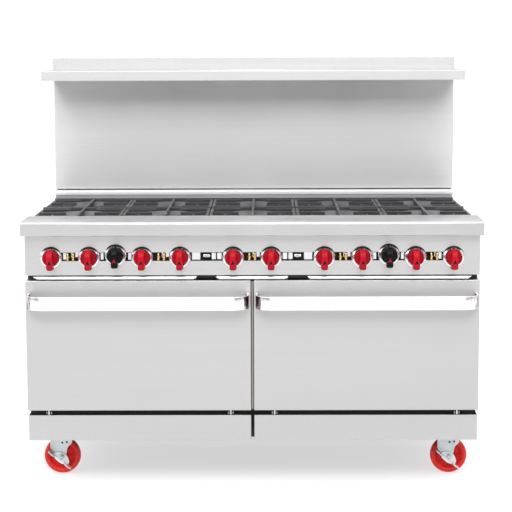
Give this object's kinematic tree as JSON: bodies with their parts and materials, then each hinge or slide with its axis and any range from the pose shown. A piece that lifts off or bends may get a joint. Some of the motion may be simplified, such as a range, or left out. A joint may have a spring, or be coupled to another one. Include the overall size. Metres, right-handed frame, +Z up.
{
  "type": "commercial gas range",
  "caption": "Wide stainless restaurant gas range with open-top burners under cast grates, knobs on a slotted panel, drop-down oven doors, a backguard with a high shelf, and swivel casters.",
  "frame": {"origin": "on the floor under the centre of the bounding box", "axes": "+Z up, +X to the user's right, user on the -Y side"},
  "size_m": [1.538, 0.877, 1.435],
  "materials": {
    "stainless": "horizontally brushed, satin",
    "galvanised": "dull aluminised sheet",
    "frame_steel": "dark painted steel",
    "chrome": "polished",
    "cast_iron": "black coated casting",
    "burner_iron": "bare grey casting",
    "red_knob": "glossy moulded",
    "black_knob": "glossy moulded",
    "brass": "machined",
    "zinc": "bright zinc plate",
    "red_wheel": "cast polyurethane",
    "oven_enamel": "speckled enamel",
    "mineral_wool": "fibrous batt",
    "black_pipe": "black iron pipe"
  },
  "bodies": {
    "range_body": {"chassis_frame": "frame_steel", "side_panels": "stainless", "rear_panel": "galvanised", "front_ledge": "stainless", "control_panel": "stainless", "kick_panels": "stainless", "backguard": "stainless", "high_shelf": "stainless", "oven_liners": "oven_enamel", "oven_rack_guides": "chrome", "oven_insulation": "mineral_wool", "gas_manifold": "black_pipe", "burner_valves": "brass", "burners": "burner_iron", "knob_bezels": "chrome", "fasteners": "zinc", "caster_plates": "zinc"},
    "burner_knob_1": {"burner_knob_1": "red_knob"},
    "burner_knob_2": {"burner_knob_2": "red_knob"},
    "burner_knob_3": {"burner_knob_3": "red_knob"},
    "burner_knob_4": {"burner_knob_4": "red_knob"},
    "burner_knob_5": {"burner_knob_5": "red_knob"},
    "burner_knob_6": {"burner_knob_6": "red_knob"},
    "burner_knob_7": {"burner_knob_7": "red_knob"},
    "burner_knob_8": {"burner_knob_8": "red_knob"},
    "burner_knob_9": {"burner_knob_9": "red_knob"},
    "burner_knob_10": {"burner_knob_10": "red_knob"},
    "oven_thermostat_knob_left": {"oven_thermostat_knob_left": "black_knob"},
    "oven_thermostat_knob_right": {"oven_thermostat_knob_right": "black_knob"},
    "grate_1_front": {"grate_1_front": "cast_iron"},
    "grate_1_rear": {"grate_1_rear": "cast_iron"},
    "grate_2_front": {"grate_2_front": "cast_iron"},
    "grate_2_rear": {"grate_2_rear": "cast_iron"},
    "grate_3_front": {"grate_3_front": "cast_iron"},
    "grate_3_rear": {"grate_3_rear": "cast_iron"},
    "grate_4_front": {"grate_4_front": "cast_iron"},
    "grate_4_rear": {"grate_4_rear": "cast_iron"},
    "grate_5_front": {"grate_5_front": "cast_iron"},
    "grate_5_rear": {"grate_5_rear": "cast_iron"},
    "crumb_tray_left": {"crumb_tray_left": "galvanised"},
    "crumb_tray_centre": {"crumb_tray_centre": "galvanised"},
    "crumb_tray_right": {"crumb_tray_right": "galvanised"},
    "oven_rack_left": {"oven_rack_left": "chrome"},
    "oven_door_left": {"door_left_panel": "stainless", "door_left_liner": "galvanised", "door_left_handle": "chrome"},
    "oven_rack_right": {"oven_rack_right": "chrome"},
    "oven_door_right": {"door_right_panel": "stainless", "door_right_liner": "galvanised", "door_right_handle": "chrome"},
    "caster_front_left_fork": {"caster_front_left_fork": "zinc"},
    "caster_front_left_wheel": {"caster_front_left_wheel": "red_wheel"},
    "caster_front_left_brake": {"caster_front_left_brake": "zinc"},
    "caster_front_right_fork": {"caster_front_right_fork": "zinc"},
    "caster_front_right_wheel": {"caster_front_right_wheel": "red_wheel"},
    "caster_front_right_brake": {"caster_front_right_brake": "zinc"},
    "caster_rear_left_fork": {"caster_rear_left_fork": "zinc"},
    "caster_rear_left_wheel": {"caster_rear_left_wheel": "red_wheel"},
    "caster_rear_right_fork": {"caster_rear_right_fork": "zinc"},
    "caster_rear_right_wheel": {"caster_rear_right_wheel": "red_wheel"}
  },
  "joints": [
    {"name": "burner_knob_1_turn", "type": "hinge", "parent": "range_body", "child": "burner_knob_1", "pos_m": [-0.6731, -0.3765, 0.7835], "axis": [0, -1, 0], "range_deg": [0, 90]},
    {"name": "burner_knob_2_turn", "type": "hinge", "parent": "range_body", "child": "burner_knob_2", "pos_m": [-0.5461, -0.3765, 0.7835], "axis": [0, -1, 0], "range_deg": [0, 90]},
    {"name": "burner_knob_3_turn", "type": "hinge", "parent": "range_body", "child": "burner_knob_3", "pos_m": [-0.3683, -0.3765, 0.7835], "axis": [0, -1, 0], "range_deg": [0, 90]},
    {"name": "burner_knob_4_turn", "type": "hinge", "parent": "range_body", "child": "burner_knob_4", "pos_m": [-0.2413, -0.3765, 0.7835], "axis": [0, -1, 0], "range_deg": [0, 90]},
    {"name": "burner_knob_5_turn", "type": "hinge", "parent": "range_body", "child": "burner_knob_5", "pos_m": [-0.0635, -0.3765, 0.7835], "axis": [0, -1, 0], "range_deg": [0, 90]},
    {"name": "burner_knob_6_turn", "type": "hinge", "parent": "range_body", "child": "burner_knob_6", "pos_m": [0.0635, -0.3765, 0.7835], "axis": [0, -1, 0], "range_deg": [0, 90]},
    {"name": "burner_knob_7_turn", "type": "hinge", "parent": "range_body", "child": "burner_knob_7", "pos_m": [0.2413, -0.3765, 0.7835], "axis": [0, -1, 0], "range_deg": [0, 90]},
    {"name": "burner_knob_8_turn", "type": "hinge", "parent": "range_body", "child": "burner_knob_8", "pos_m": [0.3683, -0.3765, 0.7835], "axis": [0, -1, 0], "range_deg": [0, 90]},
    {"name": "burner_knob_9_turn", "type": "hinge", "parent": "range_body", "child": "burner_knob_9", "pos_m": [0.5461, -0.3765, 0.7835], "axis": [0, -1, 0], "range_deg": [0, 90]},
    {"name": "burner_knob_10_turn", "type": "hinge", "parent": "range_body", "child": "burner_knob_10", "pos_m": [0.6731, -0.3765, 0.7835], "axis": [0, -1, 0], "range_deg": [0, 90]},
    {"name": "oven_thermostat_knob_left_turn", "type": "hinge", "parent": "range_body", "child": "oven_thermostat_knob_left", "pos_m": [-0.4572, -0.3765, 0.7915], "axis": [0, -1, 0], "range_deg": [0, 270]},
    {"name": "oven_thermostat_knob_right_turn", "type": "hinge", "parent": "range_body", "child": "oven_thermostat_knob_right", "pos_m": [0.4572, -0.3765, 0.7915], "axis": [0, -1, 0], "range_deg": [0, 270]},
    {"name": "grate_1_front_lift", "type": "slide", "parent": "range_body", "child": "grate_1_front", "axis": [0, 0, 1], "range_m": [0, 0.06]},
    {"name": "grate_1_rear_lift", "type": "slide", "parent": "range_body", "child": "grate_1_rear", "axis": [0, 0, 1], "range_m": [0, 0.06]},
    {"name": "grate_2_front_lift", "type": "slide", "parent": "range_body", "child": "grate_2_front", "axis": [0, 0, 1], "range_m": [0, 0.06]},
    {"name": "grate_2_rear_lift", "type": "slide", "parent": "range_body", "child": "grate_2_rear", "axis": [0, 0, 1], "range_m": [0, 0.06]},
    {"name": "grate_3_front_lift", "type": "slide", "parent": "range_body", "child": "grate_3_front", "axis": [0, 0, 1], "range_m": [0, 0.06]},
    {"name": "grate_3_rear_lift", "type": "slide", "parent": "range_body", "child": "grate_3_rear", "axis": [0, 0, 1], "range_m": [0, 0.06]},
    {"name": "grate_4_front_lift", "type": "slide", "parent": "range_body", "child": "grate_4_front", "axis": [0, 0, 1], "range_m": [0, 0.06]},
    {"name": "grate_4_rear_lift", "type": "slide", "parent": "range_body", "child": "grate_4_rear", "axis": [0, 0, 1], "range_m": [0, 0.06]},
    {"name": "grate_5_front_lift", "type": "slide", "parent": "range_body", "child": "grate_5_front", "axis": [0, 0, 1], "range_m": [0, 0.06]},
    {"name": "grate_5_rear_lift", "type": "slide", "parent": "range_body", "child": "grate_5_rear", "axis": [0, 0, 1], "range_m": [0, 0.06]},
    {"name": "crumb_tray_left_slide", "type": "slide", "parent": "range_body", "child": "crumb_tray_left", "axis": [0, -1, 0], "range_m": [0, 0.45]},
    {"name": "crumb_tray_centre_slide", "type": "slide", "parent": "range_body", "child": "crumb_tray_centre", "axis": [0, -1, 0], "range_m": [0, 0.45]},
    {"name": "crumb_tray_right_slide", "type": "slide", "parent": "range_body", "child": "crumb_tray_right", "axis": [0, -1, 0], "range_m": [0, 0.45]},
    {"name": "oven_rack_left_slide", "type": "slide", "parent": "range_body", "child": "oven_rack_left", "axis": [0, -1, 0], "range_m": [0, 0.025]},
    {"name": "oven_door_left_hinge", "type": "hinge", "parent": "range_body", "child": "oven_door_left", "pos_m": [-0.383, -0.3565, 0.248], "axis": [1, 0, 0], "range_deg": [0, 90], "stiffness_Nm_per_rad": 10, "springref_deg": -11.46},
    {"name": "oven_rack_right_slide", "type": "slide", "parent": "range_body", "child": "oven_rack_right", "axis": [0, -1, 0], "range_m": [0, 0.025]},
    {"name": "oven_door_right_hinge", "type": "hinge", "parent": "range_body", "child": "oven_door_right", "pos_m": [0.383, -0.3565, 0.248], "axis": [1, 0, 0], "range_deg": [0, 90], "stiffness_Nm_per_rad": 10, "springref_deg": -11.46},
    {"name": "caster_front_left_swivel", "type": "hinge", "parent": "range_body", "child": "caster_front_left_fork", "pos_m": [-0.6745, -0.221, 0.14], "axis": [0, 0, 1], "continuous": true},
    {"name": "caster_front_left_roll", "type": "hinge", "parent": "caster_front_left_fork", "child": "caster_front_left_wheel", "pos_m": [-0.6675, -0.221, 0.0635], "axis": [0, 1, 0], "continuous": true},
    {"name": "caster_front_left_brake_tilt", "type": "hinge", "parent": "caster_front_left_fork", "child": "caster_front_left_brake", "pos_m": [-0.6675, -0.221, 0.0635], "axis": [0, 1, 0], "range_deg": [0, 20]},
    {"name": "caster_front_right_swivel", "type": "hinge", "parent": "range_body", "child": "caster_front_right_fork", "pos_m": [0.6745, -0.221, 0.14], "axis": [0, 0, 1], "continuous": true},
    {"name": "caster_front_right_roll", "type": "hinge", "parent": "caster_front_right_fork", "child": "caster_front_right_wheel", "pos_m": [0.6815, -0.221, 0.0635], "axis": [0, 1, 0], "continuous": true},
    {"name": "caster_front_right_brake_tilt", "type": "hinge", "parent": "caster_front_right_fork", "child": "caster_front_right_brake", "pos_m": [0.6815, -0.221, 0.0635], "axis": [0, 1, 0], "range_deg": [0, 20]},
    {"name": "caster_rear_left_swivel", "type": "hinge", "parent": "range_body", "child": "caster_rear_left_fork", "pos_m": [-0.6745, 0.3, 0.14], "axis": [0, 0, 1], "continuous": true},
    {"name": "caster_rear_left_roll", "type": "hinge", "parent": "caster_rear_left_fork", "child": "caster_rear_left_wheel", "pos_m": [-0.6675, 0.3, 0.0635], "axis": [0, 1, 0], "continuous": true},
    {"name": "caster_rear_right_swivel", "type": "hinge", "parent": "range_body", "child": "caster_rear_right_fork", "pos_m": [0.6745, 0.3, 0.14], "axis": [0, 0, 1], "continuous": true},
    {"name": "caster_rear_right_roll", "type": "hinge", "parent": "caster_rear_right_fork", "child": "caster_rear_right_wheel", "pos_m": [0.6815, 0.3, 0.0635], "axis": [0, 1, 0], "continuous": true}
  ]
}
